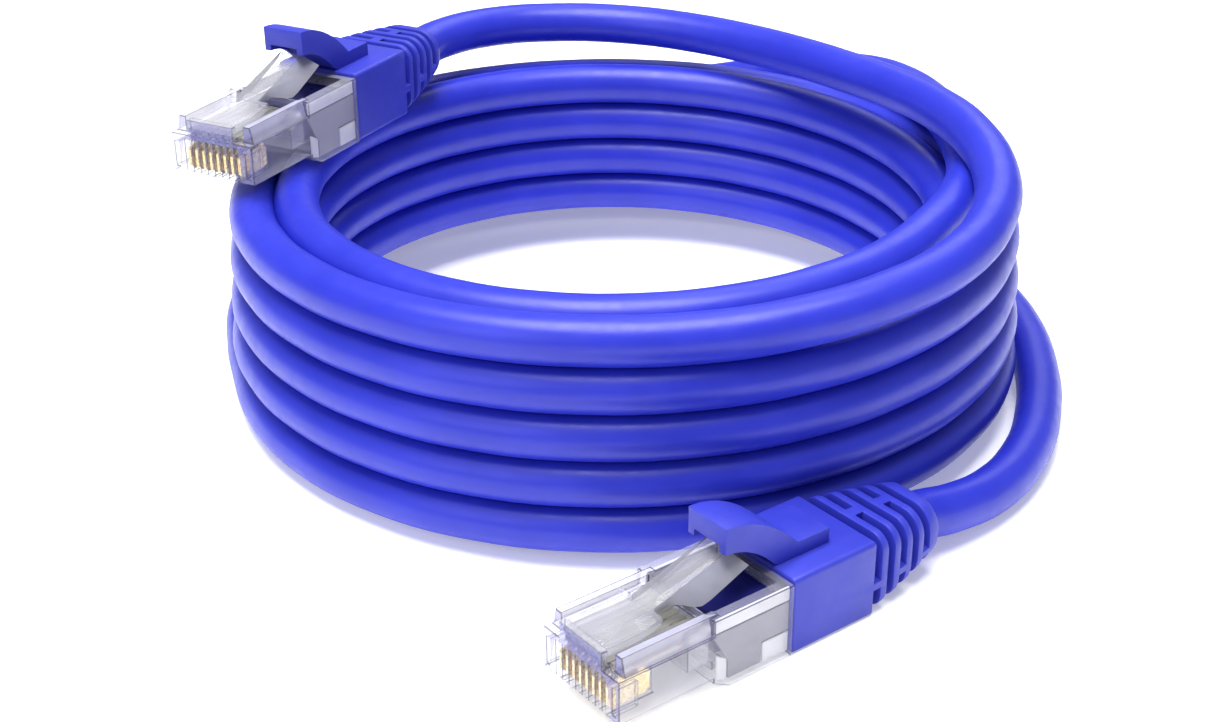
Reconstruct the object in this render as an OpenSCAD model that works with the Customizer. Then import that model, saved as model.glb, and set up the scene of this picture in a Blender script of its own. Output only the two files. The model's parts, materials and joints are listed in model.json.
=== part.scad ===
// Ethernet patch cable, wound in a round coil of ten turns, with an 8-position modular
// plug and a moulded snagless boot on each end. Millimetres, +Z up, origin at the middle
// of the whole cable's footprint, on the surface that it lies on.

/* [Cord] */
// Outside diameter of the round jacket
cord_d = 5.4; // [5.3:0.1:5.5]
// Centreline radius of the topmost outer turn
coil_r = 44.7; // [44:0.1:45.5]
// Outward step of the outer layer with each turn down
coil_flare = 0.34; // [0.2:0.02:0.4]
// Height that one turn takes up
turn_rise = 5.3; // [5.2:0.05:5.4]
// Turns in the outer layer, from the top one to the point where it meets the floor
turn_count = 4.22; // [4.2:0.01:4.25]
// Centreline radius of the inner layer
inner_r = 39.5; // [39:0.1:40]

/* [Plug] */
// Width of the plug body
plug_w = 11.68; // [11.58:0.05:11.78]
// Length of the plug body that shows in front of the boot
plug_l = 21.5; // [21:0.1:22]
// Height of the plug body above its sole
plug_h = 6.65; // [6.5:0.05:6.8]
// Height of the low nose, which the contact blades stand in
nose_h = 4.75; // [4.6:0.05:4.9]
// Distance between neighbouring contacts
contact_pitch = 1.02; // [1:0.01:1.04]
// Thickness of a contact blade
blade_t = 0.32; // [0.28:0.02:0.36]
// Diameter of an insulated conductor
wire_d = 0.96; // [0.9:0.02:0.98]

/* [Latch] */
// Width of the latch arm at the locking shoulders
latch_w = 6.2; // [6:0.1:6.4]
// Width of the release tab
tab_w = 3.2; // [3:0.1:3.4]
// Slope of the release tab above the plug, in degrees
tab_slope = 17.5; // [16:0.5:18]

/* [Boot] */
// Height of the boot body
boot_h = 8.65; // [8.5:0.05:8.8]
// Length of the plain boot body
boot_l = 11; // [10.5:0.5:11.5]
// Length of the ribbed tail behind the boot body
tail_l = 11; // [10.5:0.5:11.5]
// Height of the tail's rear end
tail_h = 6.6; // [6.4:0.1:6.8]
// Width of the tail's rear end
tail_w = 8.6; // [8.2:0.2:9]
// Number of flex slots in the tail
slot_count = 5; // [5:1:5]
// Width of the hood over the latch
hood_w = 5.6; // [5.4:0.1:5.8]

/* [Placing] */
// Direction of the upper plug's cord end, in degrees from +X
turn_a = 63; // [62:0.5:64]
// Direction of the lower plug's cord end, in degrees from +X
turn_b = 38; // [37:0.5:39]

/* [Hidden] */

cord_r = cord_d / 2;
// Middle of the coil, which sits off the middle of the footprint
coil_x = -0.36;
coil_y = 11.3;

// Colours
jacket_blue = [0.22, 0.24, 0.86];
boot_blue = [0.26, 0.28, 0.84];
clear_grey = [0.86, 0.87, 0.9, 0.45];
gold = [0.93, 0.76, 0.35];
// Insulation colours in T568B order: the striped wire of each pair comes before its plain one
wire_colours = [[0.93, 0.72, 0.5], [0.88, 0.42, 0.12], [0.72, 0.86, 0.72], [0.16, 0.3, 0.72],
    [0.7, 0.76, 0.92], [0.16, 0.52, 0.24], [0.78, 0.68, 0.6], [0.42, 0.27, 0.17]];

// Plug heights, measured from the boot's underside, and lengths, measured from the nose
sole_z = 1.65;
nose_z = sole_z + nose_h;
plug_top = sole_z + plug_h;
step_x = 11.4;
lug_x = 13.4;
roof_z = plug_top - 1.3;
wire_z = sole_z + 4.1;
blade_l = 5.6;
block_top = wire_z + 1.1;
bore_d = wire_d + 0.05;
guide_x = 9.4;
jacket_x = 13.2;
arm_root = 0.95;
tab_x = 7.4;
tab_z = plug_top + 0.75;
tab_end_x = 16.6;
tab_leg = 2.3;
leg_x = 12;
arm_t = 0.8;
boot_x = plug_l;
tail_x = boot_x + boot_l;
cord_x = tail_x + tail_l;
cord_z = boot_h / 2;
hood_x = 15.2;
hood_top = 15.3;
hood_low = 12.4;
pad_top = 10.3;
pad_x = 24.6;
pad_end_x = 28.8;
joint_gap = 0.2;
// Rear of the housing that the boot grips: length, half width, and lowest and highest point
grip_l = 7;
grip_half = 4.9;
grip_low = 0.9;
grip_top = plug_top - 0.7;
grip_gap = 0.1;
// Depth to which pieces of one solid run into each other, or a cut runs past a face
lap = 0.1;

// Places of the two plugs: the middle of the nose, at the height of the boot's underside
nose_a = [coil_x - 47.9, coil_y - 8.9, 26.85];
nose_b = [coil_x - 4.1, coil_y - 72, 0];

// Cord routes where it isn't coiled: angle round the coil, distance from its axis, height
route_a = [[133.3, 41, 31.2], [126, 43.4, 31.2], [115, 45.6, 31], [102, 46, 30.6],
    [89, 44.8, 30.3], [76, 42.3, 30.2], [63, 39.6, 30.3], [50, 37.5, 30.6], [37, 36.6, 30.9],
    [24, 37.2, 31.2], [11, 39.1, 31.3], [-4, 41.7, 31.2], [-17, 44.5, 30.2], [-29, 46.4, 29.1],
    [-41, 47.3, 28], [-54, 47, 27], [-67, 46, 26], [-80, 44.9, 25.2]];
route_crossing = [[190, 46.4, 2.7], [180, 47.8, 2.7], [170, 49.9, 3.2], [160, 51.2, 4.6],
    [150, 51.4, 6.4], [140, 51.4, 8.4], [130, 51.2, 10.4], [118, 51, 12.8], [104, 50.8, 15.4],
    [90, 50.6, 17.8], [76, 50.4, 20.2], [62, 50, 23.2], [48, 48.6, 26], [36, 46.6, 27.1],
    [24, 44.6, 27.1], [11, 42.8, 26.6], [-2, 41.6, 26.2], [-15, 40.3, 26.4], [-28, 39.6, 26.3]];
route_b = [[184, 39.8, 2.8], [172, 41.6, 2.7], [160, 44.8, 2.7], [150, 47.6, 2.7],
    [140, 50.2, 2.7], [128, 51.6, 2.7], [112, 51.6, 2.7], [98, 51.6, 2.7], [84, 51.6, 2.7],
    [70, 51.6, 2.7], [56, 51.6, 2.7], [42, 51.6, 2.7], [28, 51.5, 2.7], [15, 51.3, 2.7],
    [3, 51.2, 2.7], [-9, 51.4, 2.7], [-21, 52.4, 2.7], [-32, 53.8, 2.7], [-42, 54.6, 2.8],
    [-50, 54.5, 3.5], [-55.9, 54.2, 4.33]];

// A point given round the coil's axis
function about_coil(p) = [coil_x + p[1] * cos(p[0]), coil_y + p[1] * sin(p[0]), p[2]];

// Direction of a route at its point i
function heading(route, i) = let (
        last = len(route) - 1,
        step = route[min(i + 1, last)] - route[max(i - 1, 0)]
    ) step / norm(step);

// Ring of a tube's corners at one point of its route
function ring(centre, along, radius, sides) = let (
        across = cross([0, 0, 1], along),
        side = across / norm(across),
        rise = cross(along, side)
    ) [for (k = [0:sides - 1]) centre
        + radius * (side * cos(360 * k / sides) + rise * sin(360 * k / sides))];

// Round tube swept along a route
module tube(route, radius, sides = 10) {
    last = len(route) - 1;
    corners = [for (i = [0:last]) each ring(route[i], heading(route, i), radius, sides)];
    walls = [for (i = [0:last - 1]) for (k = [0:sides - 1]) let (next = (k + 1) % sides)
        [i * sides + k, (i + 1) * sides + k, (i + 1) * sides + next, i * sides + next]];
    near_cap = [for (k = [0:sides - 1]) k];
    far_cap = [for (k = [sides - 1:-1:0]) last * sides + k];
    polyhedron(points = corners, faces = concat(walls, [near_cap, far_cap]), convexity = 10);
}

module cord_tube(route) {
    color(jacket_blue) tube([for (p = route) about_coil(p)], cord_r);
}

// Outer shape of both layers of turns
module coil() {
    in_r = inner_r - cord_r;
    low_r = coil_r + turn_count * coil_flare + cord_r;
    high_r = coil_r + cord_r;
    height = turn_count * turn_rise + cord_r + 1.54;
    bevel = 1.6;
    color(jacket_blue) translate([coil_x, coil_y, 0]) rotate_extrude($fn = 96)
        polygon([[in_r + bevel, 0], [low_r - bevel, 0], [low_r, bevel],
            [high_r, height - bevel], [high_r - bevel, height], [in_r + bevel, height],
            [in_r, height - bevel], [in_r, bevel]]);
}

// Place of a conductor or a contact across the plug, numbered 1 to 8
function row_y(number) = (number - 4.5) * contact_pitch;

// Box from its lowest corner to its highest one
module block(low, high) {
    translate(low) cube(high - low);
}

// Outline in the plug's side plane, length along X and height along Y, given a width
module side_plate(outline, width) {
    translate([0, width / 2, 0]) rotate([90, 0, 0]) linear_extrude(width) polygon(outline);
}

// Outline across the plug, given a start and an end along its length
module cross_plate(outline, x0, x1) {
    translate([x0, 0, 0]) rotate([90, 0, 90]) linear_extrude(x1 - x0) polygon(outline);
}

// Puts a piece that is drawn in the plug's own frame on the upper or the lower plug
module on_end(end) {
    translate(end == "a" ? nose_a : nose_b) rotate([0, 0, end == "a" ? turn_a : turn_b]) children();
}

// Bar along the plug, round, from a start to an end
module bar(x0, x1, diameter, faces) {
    translate([x0, 0, 0]) rotate([0, 90, 0]) cylinder(h = x1 - x0, d = diameter, $fn = faces);
}

// Clear housing: low nose, lowered middle under the latch arm, two side rails, full-height rear
module plug_body(end) {
    half = plug_w / 2;
    rail_in = 4.1;
    rail_out = 5.1;
    rail_foot = half - 0.3;
    rail_x = 0.9;
    middle = latch_w / 2 + 0.2;
    nose_lap = nose_z - 0.5;
    arm_front = arm_root - joint_gap;
    slot_half = blade_t / 2 + 0.05;
    slit = [3, 0.45, 3];
    pocket_w = 9.2;
    pocket_x = 9.2;
    pocket_low = 1.6;
    pocket_front_low = 2.6;
    opening_half = 4.3;
    window = [[14.4, -4, -lap], [16.7, 4, 2.7]];
    color(clear_grey) on_end(end) difference() {
        union() {
            block([0, -half, sole_z], [step_x + 1, half, nose_z]);
            side_plate([[0, nose_lap], [0, plug_top], [arm_front, plug_top],
                [arm_front, block_top], [step_x + 1, block_top], [step_x + 1, nose_lap]],
                2 * middle);
            for (s = [-1, 1]) cross_plate([[s * rail_in, nose_lap], [s * rail_in, plug_top],
                [s * rail_out, plug_top], [s * rail_foot, nose_z - 0.2],
                [s * rail_foot, nose_lap]], rail_x, step_x + 1);
            side_plate([[step_x, plug_top - lap], [step_x, 1.1], [lug_x - 0.4, 0.2], [lug_x, 0],
                [plug_l, 0], [plug_l, plug_top - lap]], plug_w);
            block([plug_l - 1, -grip_half, grip_low], [plug_l + grip_l, grip_half, grip_top]);
        }
        // Comb of slots that the blades stand in
        for (i = [1:8]) block([-lap, row_y(i) - slot_half, sole_z - lap],
            [blade_l, row_y(i) + slot_half, wire_z]);
        // Slit in each cheek of the nose
        for (s = [-1, 1]) translate([1.2, s * (half - 0.75), sole_z + 2.2])
            cube(slit, center = true);
        // Bores of the conductors, and the pocket that they spread out from
        for (i = [1:8]) translate([0, row_y(i), wire_z]) bar(1.2, step_x + 1.2, bore_d, 24);
        side_plate([[pocket_x, pocket_front_low], [pocket_x, roof_z],
            [plug_l + grip_l + lap, roof_z], [plug_l + grip_l + lap, pocket_low],
            [step_x + 0.8, pocket_low], [step_x + 0.8, pocket_front_low]], pocket_w);
        // Opening in the top behind the middle block, over the jacket
        block([step_x + lap, -opening_half, roof_z - 0.6],
            [plug_l - 1.2, opening_half, plug_top + lap]);
        // Window of the strain bar in the underside
        block(window[0], window[1]);
    }
}

// Latch: arm with two locking shoulders at its end, and a narrow tab with flared legs
module latch(end) {
    tab_run = (tab_end_x - tab_x) / cos(tab_slope);
    leg_start = (leg_x - tab_x) / cos(tab_slope);
    top = tab_w / 2;
    foot = latch_w / 2;
    bend_x = [4.4, 6];
    leg_t = 0.5;
    color(clear_grey) on_end(end) union() {
        side_plate([[arm_root, plug_top - arm_t], [arm_root, plug_top],
            [bend_x[0], plug_top + 0.03], [bend_x[1], plug_top + 0.3], [tab_x, tab_z],
            [tab_x, tab_z - arm_t], [bend_x[1], plug_top + 0.3 - arm_t],
            [bend_x[0], plug_top - arm_t]], latch_w);
        translate([tab_x, 0, tab_z]) rotate([0, -tab_slope, 0]) {
            block([-arm_t, -top, -0.9], [tab_run, top, 0]);
            for (s = [-1, 1]) cross_plate([[s * (top - leg_t), 0], [s * top, 0],
                [s * foot, -tab_leg], [s * (foot - leg_t), -tab_leg]], leg_start, tab_run);
        }
    }
}

// Comb that holds the eight conductors in a row behind the contacts
module wire_guide(end) {
    color([0.93, 0.93, 0.95]) on_end(end) difference() {
        block([guide_x, -4.5, 2.8], [guide_x + 2.4, 4.5, roof_z - 0.3]);
        for (i = [1:8]) translate([0, row_y(i), wire_z])
            bar(guide_x - 0.4, guide_x + 3.6, bore_d, 24);
    }
}

// Bar that presses the jacket against the housing's roof
module strain_bar(end) {
    color(clear_grey) on_end(end) side_plate([[14.5, 0.3], [16.6, 0.3], [16.6, 1.9], [15.8, 2.2],
        [14.5, 1.6]], 7.8);
}

// Jacket where it runs through the boot and into the housing
module jacket_end(end) {
    color(jacket_blue) on_end(end) translate([0, 0, cord_z])
        bar(jacket_x, cord_x, cord_d - 0.4, 40);
}

// One insulated conductor: straight through the comb, then gathered into the jacket
module wire(number, end) {
    y = row_y(number);
    bend_x = 12.3;
    lay = number % 2 == 0 ? 0.55 : -0.55;
    run = [jacket_x - 0.05, y * 0.42, cord_z + lay] - [bend_x, y, wire_z];
    tilt = acos(run[2] / norm(run));
    swing = atan2(run[1], run[0]);
    color(wire_colours[number - 1]) on_end(end) union() {
        translate([0, y, wire_z]) bar(1.3, bend_x, wire_d, 32);
        translate([bend_x, y, wire_z]) rotate([0, tilt, swing]) translate([0, 0, -0.2])
            cylinder(h = norm(run) - 0.1, d = wire_d - 0.06, $fn = 32);
    }
}

// Gold-plated blade: two teeth that pierce a conductor, and a rounded contact edge below
module contact(number, end) {
    low = sole_z + 0.35;
    tooth = wire_z + 0.1;
    notch = tooth - 1.1;
    color(gold) on_end(end) translate([0, row_y(number), 0]) side_plate([[0.35, low + 0.5],
        [0.9, low], [4.6, low], [5.3, low + 0.4], [5.3, notch - 0.3], [4.7, notch], [4.3, tooth],
        [3.8, notch], [2.4, notch], [1.9, tooth], [1.4, notch], [0.35, notch - 0.2]], blade_t);
}

// Moulded boot: plain sleeve, tapered tail with its flex slots, and a pad under the hood
module boot(end) {
    rib = tail_l / (slot_count * 2 + 1);
    core_d = cord_d + 0.7;
    bridge = 1.4;
    side_bridge = [-2.2, 1];
    socket_half = grip_half + grip_gap;
    side_view = [[boot_x, 0], [boot_x, boot_h], [tail_x, boot_h], [cord_x, cord_z + tail_h / 2],
        [cord_x, cord_z - tail_h / 2], [tail_x, 0]];
    top_view = [[boot_x, -plug_w / 2], [tail_x, -plug_w / 2], [cord_x, -tail_w / 2],
        [cord_x, tail_w / 2], [tail_x, plug_w / 2], [boot_x, plug_w / 2]];
    color(boot_blue) on_end(end) difference() {
        union() {
            intersection() {
                side_plate(side_view, 2 * plug_w);
                translate([0, 0, -1]) linear_extrude(boot_h + 2) polygon(top_view);
            }
            block([pad_x, -hood_w / 2, boot_h - 0.4], [pad_end_x, hood_w / 2, pad_top]);
        }
        // Socket that grips the rear of the housing, and the bore of the jacket
        block([boot_x - lap, -socket_half, grip_low - grip_gap],
            [boot_x + grip_l + 0.2, socket_half, grip_top + grip_gap]);
        translate([0, 0, cord_z]) bar(boot_x, cord_x + 1, cord_d - 0.3, 40);
        // Flex slots round the tail, each with two bridges left across it
        for (i = [0:slot_count - 1]) translate([tail_x + rib * (1 + 2 * i), 0, cord_z]) difference() {
            translate([0, -plug_w, -boot_h]) cube([rib, 2 * plug_w, 2 * boot_h]);
            bar(-1, rib + 1, core_d, 40);
            if (i % 2 == 1) translate([-1, -bridge / 2, -boot_h]) cube([rib + 2, bridge, 2 * boot_h]);
            if (i % 2 == 0) translate([-1, -plug_w, side_bridge[0]])
                cube([rib + 2, 2 * plug_w, side_bridge[1]]);
        }
    }
}

// Springy hood that shields the latch tab from snags
module boot_hood(end) {
    rear_x = pad_x - joint_gap;
    rise = hood_top - pad_top;
    under_l = 7;
    dip = hood_low - boot_h - 0.65;
    step = 0.125;
    arch = [for (t = [0:step:1]) [hood_x + t * (rear_x - hood_x), hood_top - rise * t * t]];
    under = [for (t = [1:-step:0]) [hood_x + t * under_l, hood_low - dip * t * t]];
    color(boot_blue) on_end(end)
        side_plate(concat(arch, [[rear_x, boot_h + joint_gap]], under), hood_w);
}

coil();
cord_tube(route_a);  // lead_a
cord_tube(route_b);  // lead_b
cord_tube(route_crossing);  // crossing_run
for (end = ["a", "b"]) {
    plug_body(end);
    latch(end);
    wire_guide(end);
    strain_bar(end);
    jacket_end(end);
    boot(end);
    boot_hood(end);
    for (i = [1:8]) {
        contact(i, end);
        wire(i, end);
    }
}
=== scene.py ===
"""Ethernet patch cable: one blue round cord wound in a coil of two layers, with a clear
8-position plug and a moulded snagless boot on each end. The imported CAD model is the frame."""
import json
import math

import bmesh
import bpy
from mathutils import Matrix, Vector


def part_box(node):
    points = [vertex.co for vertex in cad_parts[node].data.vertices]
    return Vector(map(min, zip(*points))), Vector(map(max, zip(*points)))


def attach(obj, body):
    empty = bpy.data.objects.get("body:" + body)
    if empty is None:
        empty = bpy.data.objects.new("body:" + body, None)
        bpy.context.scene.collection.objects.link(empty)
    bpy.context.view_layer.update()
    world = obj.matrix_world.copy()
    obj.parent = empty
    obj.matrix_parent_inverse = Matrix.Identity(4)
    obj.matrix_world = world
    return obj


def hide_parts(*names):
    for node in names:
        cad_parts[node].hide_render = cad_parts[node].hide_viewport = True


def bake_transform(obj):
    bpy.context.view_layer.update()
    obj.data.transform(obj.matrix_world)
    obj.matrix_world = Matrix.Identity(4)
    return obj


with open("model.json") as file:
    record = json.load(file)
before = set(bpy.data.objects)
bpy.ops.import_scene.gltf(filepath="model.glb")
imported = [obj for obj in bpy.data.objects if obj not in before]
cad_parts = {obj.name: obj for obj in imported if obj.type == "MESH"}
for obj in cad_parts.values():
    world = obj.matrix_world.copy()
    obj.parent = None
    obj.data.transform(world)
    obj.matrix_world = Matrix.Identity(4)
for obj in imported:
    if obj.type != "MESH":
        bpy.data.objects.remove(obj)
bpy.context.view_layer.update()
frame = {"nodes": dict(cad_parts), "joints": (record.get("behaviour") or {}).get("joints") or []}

MM = 0.001
UP = Vector((0, 0, 1))
coil_low, coil_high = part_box("coil")
COIL_AXIS = Vector(((coil_low.x + coil_high.x) / 2, (coil_low.y + coil_high.y) / 2, 0))


# ---------------------------------------------------------------- camera

def make_camera():
    """Camera at the photo's angle, its place given in mm from the coil's axis at floor level."""
    yaw, pitch, roll = -0.0078, 0.475, -0.0043
    from_axis = Vector((0, -215.03, 110.39))
    sideways, forwards = math.sin(yaw) * math.cos(pitch), math.cos(yaw) * math.cos(pitch)
    ahead = Vector((sideways, forwards, -math.sin(pitch)))
    level = Vector((math.cos(yaw), -math.sin(yaw), 0))
    upright = level.cross(ahead)
    right = level * math.cos(roll) + upright * math.sin(roll)
    above = upright * math.cos(roll) - level * math.sin(roll)
    data = bpy.data.cameras.new("camera")
    data.sensor_width = 36
    data.lens = 55.7
    data.clip_start = 0.01
    camera = bpy.data.objects.new("camera", data)
    turn = Matrix((right, above, -ahead)).transposed().to_4x4()
    camera.matrix_world = Matrix.Translation(COIL_AXIS + from_axis * MM) @ turn
    bpy.context.scene.collection.objects.link(camera)
    bpy.context.scene.camera = camera


make_camera()


# ---------------------------------------------------------------- node materials

def new_material(name):
    """A material with its Principled shader and a texture coordinate node."""
    material = bpy.data.materials.new(name)
    material.use_nodes = True
    tree = material.node_tree
    shader = tree.nodes["Principled BSDF"]
    place = tree.nodes.new("ShaderNodeTexCoord").outputs["Object"]
    return material, tree, shader, place


def noise(tree, place, size, detail=2.0):
    """Noise whose spots are about that many metres across."""
    node = tree.nodes.new("ShaderNodeTexNoise")
    node.inputs["Scale"].default_value = 1 / size
    node.inputs["Detail"].default_value = detail
    tree.links.new(place, node.inputs["Vector"])
    return node.outputs["Fac"]


def ramp(tree, factor, stops):
    """Colour ramp through (position, colour) stops."""
    node = tree.nodes.new("ShaderNodeValToRGB")
    while len(node.color_ramp.elements) < len(stops):
        node.color_ramp.elements.new(0.5)
    for element, (position, colour) in zip(node.color_ramp.elements, stops):
        element.position = position
        element.color = (*colour, 1)
    tree.links.new(factor, node.inputs["Fac"])
    return node.outputs["Color"]


NOISE_LOW, NOISE_HIGH = 0.3, 0.7


def spread(tree, factor, low, high):
    """Maps the range that noise mostly keeps to onto low to high."""
    node = tree.nodes.new("ShaderNodeMapRange")
    node.inputs["From Min"].default_value = NOISE_LOW
    node.inputs["From Max"].default_value = NOISE_HIGH
    node.inputs["To Min"].default_value = low
    node.inputs["To Max"].default_value = high
    tree.links.new(factor, node.inputs["Value"])
    return node.outputs["Result"]


def clouded(tree, shader, factor, dark, light):
    """Base colour that noise moves between two shades."""
    shades = ramp(tree, factor, [(NOISE_LOW, dark), (NOISE_HIGH, light)])
    tree.links.new(shades, shader.inputs["Base Color"])


def bump(tree, shader, height, depth, strength=1.0):
    """Relief of that depth in metres."""
    node = tree.nodes.new("ShaderNodeBump")
    node.inputs["Strength"].default_value = strength
    node.inputs["Distance"].default_value = depth
    tree.links.new(height, node.inputs["Height"])
    tree.links.new(node.outputs["Normal"], shader.inputs["Normal"])


def moulded_plastic(name, dark, light, rough, gloss, grain):
    """Soft PVC: slightly clouded colour, uneven gloss and a fine surface grain."""
    material, tree, shader, place = new_material(name)
    clouded(tree, shader, noise(tree, place, 9 * MM, 3), dark, light)
    uneven = noise(tree, place, 1.6 * MM, 3)
    tree.links.new(spread(tree, uneven, rough[0], rough[1]), shader.inputs["Roughness"])
    shader.inputs["Specular IOR Level"].default_value = gloss
    bump(tree, shader, noise(tree, place, grain, 2), 0.02 * MM, 0.5)
    return material


def clear_plastic(name, tint, facing, grazing, rough):
    """Thin clear polycarbonate: a faint film seen square on, denser edge on, with flow marks."""
    material, tree, shader, place = new_material(name)
    flow = noise(tree, place, 2.2 * MM, 2)
    shade = tuple(0.9 * c for c in tint)
    tree.links.new(ramp(tree, flow, [(0.35, shade), (0.65, tint)]), shader.inputs["Base Color"])
    tree.links.new(spread(tree, flow, rough, rough * 1.8), shader.inputs["Roughness"])
    rim = tree.nodes.new("ShaderNodeLayerWeight")
    rim.inputs["Blend"].default_value = 0.35
    film = tree.nodes.new("ShaderNodeMapRange")
    film.inputs["To Min"].default_value = facing
    film.inputs["To Max"].default_value = grazing
    tree.links.new(rim.outputs["Facing"], film.inputs["Value"])
    tree.links.new(film.outputs["Result"], shader.inputs["Alpha"])
    shader.inputs["IOR"].default_value = 1.5
    bump(tree, shader, noise(tree, place, 1.1 * MM, 2), 0.01 * MM, 0.12)
    return material


def gold_plate():
    """Gold plating with a worn brushed face."""
    material, tree, shader, place = new_material("gold_plate")
    cloud = noise(tree, place, 0.7 * MM, 3)
    clouded(tree, shader, cloud, (0.95, 0.68, 0.26), (1.0, 0.86, 0.46))
    tree.links.new(spread(tree, cloud, 0.2, 0.34), shader.inputs["Roughness"])
    shader.inputs["Metallic"].default_value = 0.7
    bump(tree, shader, noise(tree, place, 0.15 * MM, 2), 0.004 * MM)
    return material


PALE_INSULATION = (0.6, 0.59, 0.54)


def insulation(name, colour, striped):
    """Wire insulation: a plain colour, or pale with a spiral stripe of that colour."""
    material, tree, shader, place = new_material(name)
    if striped:
        wave = tree.nodes.new("ShaderNodeTexWave")
        wave.inputs["Scale"].default_value = 1 / (3.5 * MM)
        wave.inputs["Distortion"].default_value = 1.2
        tree.links.new(place, wave.inputs["Vector"])
        stops = [(0.62, PALE_INSULATION), (0.7, colour)]
        tree.links.new(ramp(tree, wave.outputs["Fac"], stops), shader.inputs["Base Color"])
    else:
        shade = tuple(0.85 * c for c in colour)
        clouded(tree, shader, noise(tree, place, 1.5 * MM, 2), shade, colour)
    shader.inputs["Roughness"].default_value = 0.38
    bump(tree, shader, noise(tree, place, 0.3 * MM, 2), 0.006 * MM)
    return material


JACKET = moulded_plastic("jacket_pvc", dark=(0.016, 0.025, 0.44), light=(0.023, 0.034, 0.51),
                         rough=(0.34, 0.44), gloss=0.42, grain=0.25 * MM)
BOOT = moulded_plastic("boot_pvc", dark=(0.026, 0.034, 0.41), light=(0.034, 0.044, 0.47),
                       rough=(0.4, 0.52), gloss=0.4, grain=0.14 * MM)
# Painted shade: a darker copy of the jacket's blue, for the jacket end lying in shade inside the
# housing
SHADED_JACKET = moulded_plastic("jacket_pvc_painted_shade", dark=(0.012, 0.013, 0.13), light=(0.018, 0.02, 0.18),
                       rough=(0.25, 0.4), gloss=0.5, grain=0.3 * MM)
# Painted reflection: grey sheets inside the housing's side walls
SIDE_REFLECTION = moulded_plastic("side_wall_painted_reflection", dark=(0.25, 0.25, 0.3), light=(0.3, 0.3, 0.35),
                          rough=(0.4, 0.55), gloss=0.4, grain=0.1 * MM)

# Tint, how dense the film is seen square on and edge on, and roughness
CLEAR = clear_plastic("clear_polycarbonate", (0.7, 0.7, 0.82), 0.07, 0.45, 0.04)
# Painted reflection: the nose's front faces tinted with the blue seen in them
FRONT = clear_plastic("clear_front_painted_reflection", (0.2, 0.2, 0.52), 0.42, 0.75, 0.05)
# Painted highlight: a paler film on the rails' top and side faces
RAIL = clear_plastic("clear_rails_painted_highlight", (0.62, 0.62, 0.8), 0.36, 0.7, 0.05)
# Painted reflection: a grey film on the middle block's top and on the release tab's top and
# underside
BLOCK = clear_plastic("clear_top_painted_reflection", (0.5, 0.5, 0.54), 0.3, 0.6, 0.08)
# Painted shade: a grey-olive film on the real ribs over the conductors
RIB_SHADE = clear_plastic("conductor_channels", (0.33, 0.32, 0.27), 0.55, 0.75, 0.15)
MILKY = clear_plastic("milky_polycarbonate", (0.8, 0.8, 0.84), 0.14, 0.6, 0.3)
# Painted shade: a dark film on the clear plastic's bevelled edges
EDGE_SHADE = clear_plastic("polycarbonate_edge_painted_shade", (0.09, 0.09, 0.16), 0.75, 0.9, 0.1)
# Painted shade: a grey film on the outer faces of the latch's wings
WING = clear_plastic("clear_wing_painted_shade", (0.3, 0.3, 0.36), 0.8, 0.95, 0.35)
# Painted highlight: pale patches inside the housing's side walls
PALE = clear_plastic("side_wall_painted_highlight", (0.86, 0.86, 0.9), 0.8, 0.9, 0.3)
GOLD = gold_plate()

WIRE_COLOURS = {"orange": (0.5, 0.36, 0.2), "green": (0.28, 0.33, 0.19),
                "blue": (0.24, 0.25, 0.4), "brown": (0.28, 0.22, 0.14)}
T568B = ["white_orange", "orange", "white_green", "blue",
         "white_blue", "green", "white_brown", "brown"]
WIRES = [insulation("wire_" + name, WIRE_COLOURS[name.split("_")[-1]], striped="_" in name)
         for name in T568B]


def paint(piece, material):
    """Gives a piece that one material."""
    piece.data.materials.clear()
    piece.data.materials.append(material)


# ---------------------------------------------------------------- cord

# Sizes in mm. The outer layer widens by the flare with each turn down
CORD_D = 5.4
COIL_R = 44.7
COIL_FLARE = 0.34
INNER_R = 39.5
TURN_RISE = 5.3
TURN_COUNT = 4.22
TOP_Z = CORD_D / 2 + TURN_COUNT * TURN_RISE
FRONT_ANGLE = -90
KNOT_STEP = 15

# Cord routes where it isn't coiled, in mm: angle round the coil, distance from its axis, height
ROUTE_A = [
    (133.3, 41, 31.2), (126, 43.4, 31.2), (115, 45.6, 31), (102, 46, 30.6), (89, 44.8, 30.3),
    (76, 42.3, 30.2), (63, 39.6, 30.3), (50, 37.5, 30.6), (37, 36.6, 30.9), (24, 37.2, 31.2),
    (11, 39.1, 31.3), (-4, 41.7, 31.2), (-17, 44.5, 30.2), (-29, 46.4, 29.1), (-41, 47.3, 28),
    (-54, 47, 27), (-67, 46, 26), (-80, 44.9, 25.2)]
ROUTE_CROSSING = [
    (190, 46.4, 2.7), (180, 47.8, 2.7), (170, 49.9, 3.2), (160, 51.2, 4.6), (150, 51.4, 6.4),
    (140, 51.4, 8.4), (130, 51.2, 10.4), (118, 51, 12.8), (104, 50.8, 15.4), (90, 50.6, 17.8),
    (76, 50.4, 20.2), (62, 50, 23.2), (48, 48.6, 26), (36, 46.6, 27.1), (24, 44.6, 27.1),
    (11, 42.8, 26.6), (-2, 41.6, 26.2), (-15, 40.3, 26.4), (-28, 39.6, 26.3)]
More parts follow.
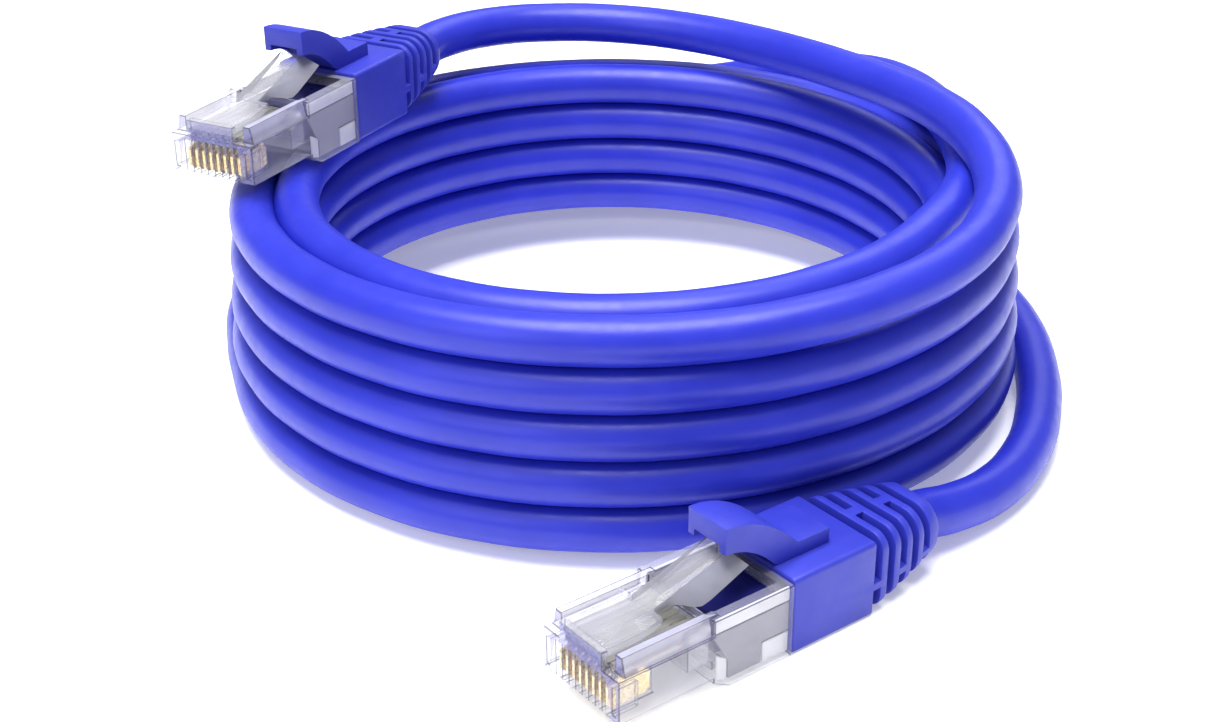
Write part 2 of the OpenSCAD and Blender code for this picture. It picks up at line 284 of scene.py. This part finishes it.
ROUTE_B = [
    (184, 39.8, 2.8), (172, 41.6, 2.7), (160, 44.8, 2.7), (150, 47.6, 2.7), (140, 50.2, 2.7),
    (128, 51.6, 2.7), (112, 51.6, 2.7), (98, 51.6, 2.7), (84, 51.6, 2.7), (70, 51.6, 2.7),
    (56, 51.6, 2.7), (42, 51.6, 2.7), (28, 51.5, 2.7), (15, 51.3, 2.7), (3, 51.2, 2.7),
    (-9, 51.4, 2.7), (-21, 52.4, 2.7), (-32, 53.8, 2.7), (-42, 54.6, 2.8), (-50, 54.5, 3.5),
    (-55.9, 54.2, 4.33)]


def about_coil(angle, radius, height):
    """A point given in mm round the coil's axis, as a place in metres."""
    turn = math.radians(angle)
    return COIL_AXIS + Vector((radius * math.cos(turn), radius * math.sin(turn), height)) * MM


def outer_turns():
    """The outer layer, wound down from the front. It lifts a little over the inner layer's exit."""
    exit_angle, exit_spread, exit_lift = 157, 16, 0.14
    points = []
    for swept in range(5, 1506, KNOT_STEP):
        turns = swept / 360
        angle = FRONT_ANGLE - swept
        lift = exit_lift * turns * math.exp(-(((angle % 360) - exit_angle) / exit_spread) ** 2)
        height = max(TOP_Z - TURN_RISE * turns + lift, CORD_D / 2)
        points.append(about_coil(angle, COIL_R + COIL_FLARE * turns, height))
    return points


def inner_turns():
    """The inner layer, wound down beside the outer one. At the back it stands a little higher."""
    points = []
    for swept in range(-47, 1514, KNOT_STEP):
        lift = 0.45 - 0.55 * math.cos(math.radians(swept))
        height = max(TOP_Z - TURN_RISE * swept / 360 + lift, CORD_D / 2)
        points.append(about_coil(FRONT_ANGLE - swept, INNER_R, height))
    return points


# ---------------------------------------------------------------- plugs

# Sizes in mm in a plug's own frame: X from the nose to the cord, Z up from the boot's underside.
# The boot starts at BOOT_X, its tail at TAIL_X, and the cord leaves it at CORD_X
PLUG_W = 11.68
BOOT_H = 8.65
CORD_Z = BOOT_H / 2
BOOT_X = 21.5
TAIL_X = 32.5
CORD_X = 43.5
TAIL_HALF = 4.3
SLOT_COUNT = 5
CONTACT_PITCH = 1.02
HOOD_PIVOT = Vector((24.4, 0, 9.6))


def plug_frame(end):
    """Matrix of a plug's own frame, from its hood's hinge. It turns millimetres into metres."""
    joint = next(j for j in frame["joints"] if j["name"] == "hood_flex_" + end)
    across = Vector(joint["axis"])
    along = across.cross(UP)
    turn = Matrix((along, across, UP)).transposed().to_4x4() @ Matrix.Scale(MM, 4)
    hinge = Vector(joint["pos_m"])
    return Matrix.Translation(hinge - turn.to_3x3() @ HOOD_PIVOT) @ turn


PLUGS = {end: plug_frame(end) for end in "ab"}


def make_cord():
    """The whole cord from one boot to the other, as one smooth curve."""
    inside_boot = Vector((CORD_X - 3, 0, CORD_Z))
    points = [PLUGS["a"] @ inside_boot]
    points += [about_coil(*p) for p in ROUTE_A]
    points += outer_turns()
    points += [about_coil(*p) for p in ROUTE_CROSSING]
    points += inner_turns()
    points += [about_coil(*p) for p in ROUTE_B]
    points.append(PLUGS["b"] @ inside_boot)
    curve = bpy.data.curves.new("cord", "CURVE")
    curve.dimensions = "3D"
    curve.bevel_depth = CORD_D / 2 * MM
    curve.bevel_resolution = 8
    curve.resolution_u = 5
    curve.use_fill_caps = True
    spline = curve.splines.new("BEZIER")
    spline.bezier_points.add(len(points) - 1)
    for knot, place in zip(spline.bezier_points, points):
        knot.co = place
        knot.handle_left_type = knot.handle_right_type = "AUTO"
    cord = bpy.data.objects.new("cord", curve)
    bpy.context.scene.collection.objects.link(cord)
    paint(cord, JACKET)
    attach(cord, "root")
    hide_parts("coil", "lead_a", "crossing_run", "lead_b")
    return cord


cord = make_cord()


# ---------------------------------------------------------------- mesh helpers

def add_mesh(name, corners, faces, place, material, edge_angle=35):
    """A mesh object whose corners are in mm in that frame."""
    mesh = bpy.data.meshes.new(name)
    mesh.from_pydata([place @ Vector(c) for c in corners], [], faces)
    form = bmesh.new()
    form.from_mesh(mesh)
    bmesh.ops.recalc_face_normals(form, faces=form.faces)
    form.to_mesh(mesh)
    form.free()
    piece = bpy.data.objects.new(name, mesh)
    bpy.context.scene.collection.objects.link(piece)
    piece.data.materials.append(material)
    mesh.polygons.foreach_set("use_smooth", [True] * len(mesh.polygons))
    mesh.set_sharp_from_angle(angle=math.radians(edge_angle))
    return piece


ROUNDED_SHARP = 50


def soften(piece, width, segments=3, angle=35, edge_slot=-1):
    """Rounds a piece's edges by that many mm, in that material slot, and keeps the result."""
    modifier = piece.modifiers.new("edges", "BEVEL")
    modifier.width = width * MM
    modifier.segments = segments
    modifier.limit_method = "ANGLE"
    modifier.angle_limit = math.radians(angle)
    modifier.use_clamp_overlap = True
    modifier.material = edge_slot
    graph = bpy.context.evaluated_depsgraph_get()
    made = bpy.data.meshes.new_from_object(piece.evaluated_get(graph))
    piece.modifiers.clear()
    piece.data = made
    made.polygons.foreach_set("use_smooth", [True] * len(made.polygons))
    made.set_sharp_from_angle(angle=math.radians(ROUNDED_SHARP))
    return piece


def loft(rings, closed=False):
    """Corners and faces of a skin through rings that have the same number of corners."""
    count = len(rings[0])
    corners = [c for ring in rings for c in ring]
    faces = []
    for i in range(len(rings) if closed else len(rings) - 1):
        a, b = i * count, (i + 1) % len(rings) * count
        faces += [(a + k, a + (k + 1) % count, b + (k + 1) % count, b + k) for k in range(count)]
    if not closed:
        faces.append(tuple(range(count))[::-1])
        faces.append(tuple(range((len(rings) - 1) * count, len(rings) * count)))
    return corners, faces


# ---------------------------------------------------------------- boots

REACH_LIMIT = 12.0
HALVINGS = 26


def edge_reach(angle, half, low, high, radius):
    """Distance from the cord's centre to a rounded box's edge, in one direction, by halving."""
    middle, tall = (low + high) / 2, (high - low) / 2
    near, far = 0.0, REACH_LIMIT
    for _ in range(HALVINGS):
        reach = (near + far) / 2
        y = abs(reach * math.cos(angle)) - half + radius
        z = abs(CORD_Z + reach * math.sin(angle) - middle) - tall + radius
        gap = math.hypot(max(y, 0), max(z, 0)) + min(max(y, z), 0) - radius
        near, far = (reach, far) if gap < 0 else (near, reach)
    return near


# Directions in degrees between which a slot of the tail is bridged
SIDE_BRIDGE = (-13.5, -6.0)
MIDDLE_BRIDGE = (81.0, 99.0)
BRIDGE_RIM = 0.7


def boot_angles():
    """Directions round the boot in degrees, closer together at its corners and at slot ends."""
    corner = [26 + 1.5 * i for i in range(17)]
    quarter = [0, 6, 12, 18, 24] + corner + [54, 60, 66, 72, 78, 84]
    angles = set()
    for start in (0, 180):
        for a in quarter:
            angles.update({(start + a) % 360, (start + 180 - a) % 360})
    angles.update({90, 270})
    for low, high in (SIDE_BRIDGE, MIDDLE_BRIDGE):
        for a in (low - BRIDGE_RIM, low, high, high + BRIDGE_RIM):
            angles.update({a % 360, (180 - a) % 360, -a % 360 if low > 0 else a % 360})
    return sorted(round(a, 3) for a in angles)


BOOT_ANGLES = boot_angles()


def bridged(slot, angle):
    """Whether a bridge crosses that slot of the tail in that direction, in degrees."""
    if slot % 2 == 0:
        low, high = SIDE_BRIDGE
        return low <= (angle + 90) % 360 - 90 <= high or low <= (270 - angle) % 360 - 90 <= high
    low, high = MIDDLE_BRIDGE
    return low <= angle <= high or low <= 360 - angle <= high


def boot_outline(x):
    """Half width, underside, top and corner radius of the boot at x. Its tail tapers."""
    if x <= TAIL_X + 0.01:
        return PLUG_W / 2, 0.0, BOOT_H, 0.45
    t = (x - TAIL_X) / (CORD_X - TAIL_X)
    half = PLUG_W / 2 - (PLUG_W / 2 - TAIL_HALF) * t ** 1.4
    return half, 1.6 * t ** 1.5, BOOT_H - 0.6 * t ** 1.6, 1.7 + 1.3 * t


def boot_ring(x, inset=0.0, slot=None, cut=0.0):
    """Corners round the boot at x, moved in by inset, and by cut where the slot is open."""
    half, low, high, radius = boot_outline(x)
    ring = []
    for degrees in BOOT_ANGLES:
        angle = math.radians(degrees)
        back = inset
        if slot is not None and not bridged(slot, degrees):
            back += cut
        reach = edge_reach(angle, half - back, low + back, high - back, max(radius - back, 0.2))
        reach = max(reach, CORD_D / 2 + 0.25) if back > inset else reach
        ring.append((x, reach * math.cos(angle), CORD_Z + reach * math.sin(angle)))
    return ring


def round_ring(x, radius):
    """Corners of a circle round the cord at x."""
    turns = [math.radians(a) for a in BOOT_ANGLES]
    return [(x, radius * math.cos(a), CORD_Z + radius * math.sin(a)) for a in turns]


def box_ring(x, half, low, high, radius):
    """Corners round a rounded box at x."""
    ring = []
    for degrees in BOOT_ANGLES:
        angle = math.radians(degrees)
        reach = edge_reach(angle, half, low, high, radius)
        ring.append((x, reach * math.cos(angle), CORD_Z + reach * math.sin(angle)))
    return ring


def make_boot(end):
    """Moulded boot: sleeve with its socket for the housing, tail with bridged flex slots, bore."""
    slot_depth = 1.35
    socket = (5.0, 0.8, 7.7, 0.3)
    socket_end = BOOT_X + 7.2
    rings = []
    for after, inset in ((0.0, 0.22), (0.07, 0.07), (0.22, 0.0), (3.5, 0.0), (7.0, 0.0)):
        rings.append(boot_ring(BOOT_X + after, inset))
    pitch = (CORD_X - TAIL_X) / (2 * SLOT_COUNT + 1)
    for slot in range(SLOT_COUNT):
        start = TAIL_X + 2 * slot * pitch
        finish = start + pitch
        for x, cut in ((start - 0.2, 0), (start - 0.06, 0.05), (start, 0.2),
                       (start + 0.03, slot_depth), (finish - 0.03, slot_depth),
                       (finish, 0.2), (finish + 0.06, 0.05), (finish + 0.2, 0)):
            rings.append(boot_ring(x, 0.0, slot, cut))
    for before, inset in ((0.9, 0.0), (0.45, 0.07), (0.15, 0.25), (0.0, 0.6)):
        rings.append(boot_ring(CORD_X - before, inset))
    rings += [round_ring(CORD_X, CORD_D / 2 + 0.06), round_ring(socket_end, CORD_D / 2 + 0.03)]
    rings += [box_ring(socket_end, *socket), box_ring(BOOT_X, *socket)]
    corners, faces = loft(rings, closed=True)
    boot = add_mesh("boot_skin_" + end, corners, faces, PLUGS[end], BOOT, 40)
    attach(boot, "root")
    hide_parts("boot_" + end)


# The hood's free end is at HOOD_X, and its pad lies on the boot from PAD_X to PAD_END
HOOD_X = 15.2
HOOD_TOP = 15.3
HOOD_LOW = 12.4
HOOD_HALF = 2.75
CHANNEL_HALF = 1.9
HOOD_STEPS = 16
PAD_X = 24.6
PAD_END = 28.8
PAD_TOP = 10.3


def hood_section(x, low, high, channel):
    """Corners across the hood: a box with a channel of that depth in its underside."""
    right = [(HOOD_HALF, high), (HOOD_HALF, low),
             (CHANNEL_HALF, low), (CHANNEL_HALF, low + channel)]
    left = [(-y, z) for y, z in reversed(right)]
    return [(x, *left[-1])] + [(x, y, z) for y, z in right + left[:-1]]


def make_hood(end):
    """Springy hood over the release tab, in one with the pad that it bends from."""
    place = PLUGS[end]
    drop, drop_end = 3.75, 0.71
    no_channel = 0.05
    sections = []
    for i in range(HOOD_STEPS + 1):
        t = i / HOOD_STEPS
        x = HOOD_X + t * (PAD_X - HOOD_X)
        high = HOOD_TOP - (HOOD_TOP - PAD_TOP) * t * t
        low = max(HOOD_LOW - drop * (t / drop_end) ** 2, BOOT_H + 0.02)
        sections.append(hood_section(x, low, high, no_channel + 0.7 * max(0, 1 - 2.2 * t)))
    for x in (PAD_X + 1.3, PAD_END):
        sections.append(hood_section(x, BOOT_H - 0.3, PAD_TOP, no_channel))
    corners, faces = loft(sections)
    hood = soften(add_mesh("hood_skin_" + end, corners, faces, place, BOOT), 0.28, 3, 38)
    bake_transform(hood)
    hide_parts("boot_hood_" + end)


def make_jacket_end(end):
    """Jacket that runs through the boot and is pressed flat inside the housing, in a darker blue
    that is painted shade.
    """
    flat_end = 19.5
    rings = [box_ring(13.5, 3.9, 2.7, 6.2, 1.0), box_ring(13.7, 4.2, 2.3, 6.6, 1.3)]
    rings += [box_ring(x, 4.25, 2.2, 6.65, 1.3) for x in (15.0, 17.0, flat_end)]
    for t in (0.25, 0.5, 0.75, 1.0):
        rings.append(box_ring(flat_end + 3 * t, 4.25 - 1.55 * t,
                              2.2 - 0.57 * t, 6.65 + 0.37 * t, 1.3 + 1.4 * t))
    rings += [round_ring(x, CORD_D / 2) for x in (26, 32, 38, CORD_X - 2)]
    corners, faces = loft(rings)
    # Darker blue, painted shade
    jacket = add_mesh("pressed_jacket_" + end, corners, faces, PLUGS[end], SHADED_JACKET)
    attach(jacket, "root")
    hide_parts("jacket_end_" + end)


PANEL_Y = (5.05, 5.35)


def add_plates(name, outlines, end, material):
    """Thin plates of those outlines inside both side walls of the housing's rear."""
    corners, faces = [], []
    for outline in outlines:
        count = len(outline)
        for side in (-1, 1):
            first = len(corners)
            corners += [(x, side * y, z) for y in PANEL_Y for x, z in outline]
            faces.append(tuple(range(first, first + count))[::side])
            faces.append(tuple(range(first + count, first + 2 * count))[::-side])
            for k in range(count):
                a, b = first + k, first + (k + 1) % count
                faces.append((a, a + count, b + count, b)[::side])
    plates = soften(add_mesh(name + end, corners, faces, PLUGS[end], material), 0.08, 2)
    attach(plates, "root")


def make_side_panels(end):
    """Grey panel in each side wall, painted reflection, with a pale strip above it and pale blocks
    at its foot, painted highlights.
    """
    ground = [(11.6, 6.1), (13.6, 2.6), (13.6, 0.5), (17.8, 0.5),
              (17.8, 2.9), (21.3, 2.9), (21.3, 6.1)]
    strip = [(12.0, 6.3), (21.3, 6.3), (21.3, 7.8), (12.0, 7.8)]
    rear = [(18.0, 0.4), (21.3, 0.4), (21.3, 2.7), (18.0, 2.7)]
    front = [(12.2, 0.9), (13.4, 0.5), (13.4, 2.9), (12.2, 3.6)]
    # Grey sheets: painted reflection
    add_plates("side_panels_", [ground], end, SIDE_REFLECTION)
    # Pale strip and blocks: painted highlights
    add_plates("side_blocks_", [strip, rear, front], end, PALE)


# Top of the locking arm at each x
ARM = [(0.8, 8.3), (1.6, 8.3), (2.6, 8.3), (3.6, 8.31), (4.6, 8.36), (5.6, 8.52), (6.6, 8.8),
       (7.3, 9.02)]
ARM_HALF = 3.1
TAB_X = 7.36
TAB_Z = 9.05
TAB_HALF = 1.6
TAB_SLOPE = math.tan(math.radians(17.5))
LATCH_CORNERS = 8
# Where each section of the tab is, and its wings' feet: x, foot's x, half width and height
WINGS = [(TAB_X, 7.36, 1.62, 8.24), (8.6, 8.6, 1.64, 8.6), (9.6, 9.7, 1.85, 8.75),
         (10.4, 10.6, 2.3, 8.5), (11.1, 11.4, 2.75, 8.2), (11.8, 12.2, 3.02, 8.15),
         (12.6, 13.1, 3.1, 8.45), (13.6, 14.3, 3.1, 8.95), (14.6, 15.5, 3.1, 9.45),
         (15.6, 16.7, 3.1, 9.97), (16.6, 17.9, 3.1, 10.5)]


def latch_section(x, top, half, foot_x, foot_half, foot_z):
    """Corners across the latch: its plate, and the foot of the wing on each side."""
    right = [(x, half, top), (foot_x, foot_half, foot_z),
             (foot_x, foot_half - 0.45, foot_z), (x, half - 0.6, top - 0.8)]
    return right + [(a, -b, c) for a, b, c in reversed(right)]


def make_latch(end):
    """Sprung arm with two shoulders, and the release tab with a curved wing on each side."""
    place = PLUGS[end]
    sections = [latch_section(x, top, ARM_HALF, x, ARM_HALF, top - 0.79) for x, top in ARM]
    for x, *foot in WINGS:
        sections.append(latch_section(x, TAB_Z + (x - TAB_X) * TAB_SLOPE, TAB_HALF, *foot))
    corners, faces = loft(sections)
    latch = add_mesh("latch_skin_" + end, corners, faces, place, CLEAR)
    # Painted light on the latch: dark edge film, grey shade film on the wings, grey reflection film
    # on the tab's top and underside
    for film in (EDGE_SHADE, WING, BLOCK):
        latch.data.materials.append(film)
    wing_start = len(ARM) * LATCH_CORNERS
    for face in latch.data.polygons:
        spans = sorted(v % LATCH_CORNERS for v in face.vertices)
        if min(face.vertices) < wing_start:
            continue
        if spans in ([0, 0, 1, 1], [6, 6, 7, 7]):
            face.material_index = 2
        elif spans in ([0, 0, 7, 7], [3, 3, 4, 4]):
            face.material_index = 3
    # The latch's bevels take the dark edge film, painted shade.
    soften(latch, 0.08, 1, edge_slot=1)
    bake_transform(latch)
    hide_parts("latch_" + end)


# Limits in mm between which a face of the housing is part of a rail, the middle block or the nose,
# and the least part of its normal that has to point the right way
RAIL_END = 11.3
RAIL_INNER = 4.0
RAIL_LOW = 6.45
BLOCK_HALF = 3.4
NOSE_END = 1.0
NOSE_TOP = 5.9
NOSE_SIDE = 4.4
FACING = 0.7


def film_faces(node, end):
    """Painted reflection: a denser look of the housing's upper faces, tinted films that stand in
    for the total reflection inside them.
    """
    films = [EDGE_SHADE, FRONT, RAIL, BLOCK]
    for film in films:
        node.data.materials.append(film)
    to_plug = PLUGS[end].inverted() @ node.matrix_world
    turn = to_plug.to_3x3().normalized()
    for face in node.data.polygons:
        x, y, z = to_plug @ face.center
        along, across, up = turn @ face.normal
        if x > RAIL_END:
            continue
        # The films: painted reflection on the nose's front faces and the middle block's top,
        # painted highlight on the rails
        if along < -FACING and x < NOSE_END and (z > NOSE_TOP or abs(y) > NOSE_SIDE):
            face.material_index = 1 + films.index(FRONT)
        elif abs(y) > RAIL_INNER and z > RAIL_LOW and (up > FACING or abs(across) > FACING):
            face.material_index = 1 + films.index(RAIL)
        elif up > FACING and abs(y) < BLOCK_HALF and z > NOSE_TOP:
            face.material_index = 1 + films.index(BLOCK)


def make_channels(end):
    """Ribs over the eight conductors, in the top of the housing's middle block."""
    half, top_half = 0.4, 0.22
    low, side_top, top = 6.32, 6.78, 6.9
    section = [(-half, low), (-half, side_top), (-top_half, top),
               (top_half, top), (half, side_top), (half, low)]
    count = len(section)
    corners, faces = [], []
    for number in range(8):
        middle = (number - 3.5) * CONTACT_PITCH
        a = len(corners)
        b = a + count
        corners += [(x, middle + y, z) for x in (1.0, 11.2) for y, z in section]
        faces += [tuple(range(a, b)), tuple(range(b, b + count))[::-1]]
        for k in range(count):
            after = (k + 1) % count
            faces.append((a + after, a + k, b + k, b + after))
    # The ribs' grey-olive film is painted shade
    ribs = add_mesh("conductor_channels_" + end, corners, faces, PLUGS[end], RIB_SHADE)
    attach(ribs, "root")


def mark_edges(node, width):
    """Fine bevel of that many mm on a clear CAD node's edges, in its second material, the dark edge
    film that is painted shade.
    """
    weld = node.modifiers.new("weld", "WELD")
    weld.merge_threshold = 0.001 * MM
    bevel = node.modifiers.new("edges", "BEVEL")
    bevel.width = width * MM
    bevel.segments = 1
    bevel.limit_method = "ANGLE"
    bevel.angle_limit = math.radians(40)
    bevel.use_clamp_overlap = False
    bevel.material = 1


def finish_cad_nodes(end):
    """Better materials and edges on the CAD pieces that stay, with the housing's painted reflection
    films and painted edge shade.
    """
    nodes = frame["nodes"]
    body = nodes["plug_body_" + end]
    paint(body, CLEAR)
    paint(nodes["strain_bar_" + end], CLEAR)
    paint(nodes["wire_guide_" + end], MILKY)
    film_faces(body, end)
    # Dark edge film on the bevels, painted shade
    mark_edges(body, 0.12)
    for number in range(1, 9):
        paint(nodes[f"contact_{number}_{end}"], GOLD)
        paint(nodes[f"wire_{number}_{end}"], WIRES[number - 1])


for end in "ab":
    make_boot(end)
    make_hood(end)
    make_jacket_end(end)
    make_side_panels(end)
    make_latch(end)
    make_channels(end)
    finish_cad_nodes(end)

far_plug = ["boot_skin_b", "hood_skin_b", "plug_body_b", "latch_skin_b", "wire_guide_b",
            "strain_bar_b", "pressed_jacket_b", "side_panels_b"]
far_plug += [f"{part}_{i}_b" for part in ("contact", "wire") for i in range(1, 9)]


# ---------------------------------------------------------------- studio

def make_floor():
    """Plain pale lit tabletop with a faint grain, which keeps the shadows light."""
    half = 3.0
    corners = [(-half, -half, 0), (half, -half, 0), (half, half, 0), (-half, half, 0)]
    material, tree, shader, place = new_material("pale_paper")
    cloud = noise(tree, place, 80 * MM, 2)
    clouded(tree, shader, cloud, (0.93, 0.93, 0.94), (0.96, 0.96, 0.965))
    shader.inputs["Roughness"].default_value = 0.9
    shader.inputs["Specular IOR Level"].default_value = 0.1
    shader.inputs["Emission Color"].default_value = (1, 1, 1, 1)
    shader.inputs["Emission Strength"].default_value = 0.3
    mesh = bpy.data.meshes.new("floor")
    mesh.from_pydata(corners, [], [(0, 1, 2, 3)])
    floor = bpy.data.objects.new("floor", mesh)
    bpy.context.scene.collection.objects.link(floor)
    floor.location.z = -0.1 * MM
    paint(floor, material)


def make_light(name, place, size, power):
    """Square soft light of that size in metres and power in watts, aimed at the coil."""
    data = bpy.data.lights.new(name, "AREA")
    data.size = size
    data.energy = power
    light = bpy.data.objects.new(name, data)
    target = COIL_AXIS + UP * 0.015
    light.location = target + Vector(place)
    light.rotation_euler = Vector(place).to_track_quat("Z", "Y").to_euler()
    bpy.context.scene.collection.objects.link(light)


def make_world(strength):
    """Even white surround."""
    world = bpy.data.worlds.new("surround")
    world.use_nodes = True
    background = world.node_tree.nodes["Background"]
    background.inputs["Color"].default_value = (0.97, 0.98, 1, 1)
    background.inputs["Strength"].default_value = strength
    bpy.context.scene.world = world


make_floor()
make_world(0.3)
make_light("overhead", place=(-0.05, -0.05, 0.6), size=0.4, power=6.6)
make_light("front_left", place=(-0.5, -0.6, 0.45), size=0.5, power=1.8)
make_light("back_rim", place=(0.2, 0.5, 0.5), size=0.4, power=1.2)
scene = bpy.context.scene
scene.view_settings.view_transform = "Standard"
# A line of sight through a plug crosses many clear faces, and turns black past this number
scene.cycles.transparent_max_bounces = 40
